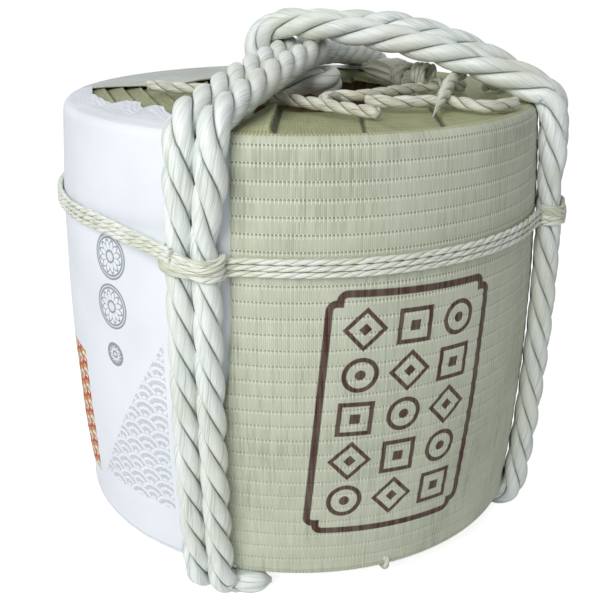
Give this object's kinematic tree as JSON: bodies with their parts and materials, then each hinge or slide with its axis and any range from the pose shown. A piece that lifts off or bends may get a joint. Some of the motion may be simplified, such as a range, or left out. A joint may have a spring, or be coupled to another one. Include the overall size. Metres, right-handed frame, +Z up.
{
  "type": "straw-wrapped sake barrel",
  "caption": "Cedar sake cask with bamboo hoops, wrapped in a woven rush mat with a printed cloth face and slung in thick doubled rope.",
  "frame": {"origin": "on the cask's axis, at the floor that the sling rope stands on", "axes": "+Z up along the cask's axis, -Y towards the middle of the printed face, +X to the left pair of ropes as the picture shows them"},
  "size_m": [0.7, 0.6662, 0.6589],
  "materials": {
    "cedar": "planed sugi cedar, unfinished",
    "bung_wood": "turned cedar, unfinished",
    "bamboo": "split bamboo, plaited",
    "straw": "rice straw padding",
    "rush_mat": "woven rush-like matting, satin",
    "printed_cloth": "smooth white printed cloth",
    "sling_rope": "three-strand laid rope of flat glossy fibre",
    "waist_cord": "two-strand twisted cord, satin",
    "lacing_rope": "two-strand twisted straw rope"
  },
  "bodies": {
    "wrapped_cask": {"stave_01": "cedar", "stave_02": "cedar", "stave_03": "cedar", "stave_04": "cedar", "stave_05": "cedar", "stave_06": "cedar", "stave_07": "cedar", "stave_08": "cedar", "stave_09": "cedar", "stave_10": "cedar", "stave_11": "cedar", "stave_12": "cedar", "stave_13": "cedar", "stave_14": "cedar", "stave_15": "cedar", "stave_16": "cedar", "stave_17": "cedar", "stave_18": "cedar", "head_board_1": "cedar", "head_board_2": "cedar", "head_board_3": "cedar", "head_board_4": "cedar", "base_board_1": "cedar", "base_board_2": "cedar", "base_board_3": "cedar", "base_board_4": "cedar", "head_dowels": "bamboo", "base_dowels": "bamboo", "hoop_foot": "bamboo", "hoop_low": "bamboo", "hoop_lower_waist": "bamboo", "hoop_waist": "bamboo", "hoop_upper_waist": "bamboo", "hoop_neck": "bamboo", "hoop_mouth": "bamboo", "straw_lining": "straw", "rush_mat": "rush_mat", "mat_top_fold": "rush_mat", "mat_under_fold": "rush_mat", "printed_face": "printed_cloth", "face_top_fold": "printed_cloth", "face_under_fold": "printed_cloth", "sling_loop_front": "sling_rope", "sling_loop_back": "sling_rope", "sling_back_pair": "sling_rope", "sling_tail": "sling_rope", "waist_cord_lower": "waist_cord", "waist_cord_middle": "waist_cord", "waist_cord_upper": "waist_cord", "binding_left": "waist_cord", "binding_right": "waist_cord", "binding_back": "waist_cord", "lacing_cut_end": "lacing_rope", "lacing_cross": "lacing_rope", "lacing_far": "lacing_rope", "lacing_rim": "lacing_rope", "under_lacing": "lacing_rope", "mat_tuft": "rush_mat"},
    "bung": {"bung": "bung_wood"}
  },
  "joints": [
    {"name": "bung_pull", "type": "slide", "parent": "wrapped_cask", "child": "bung", "axis": [0, 0, 1], "range_m": [0, 0.2]}
  ]
}
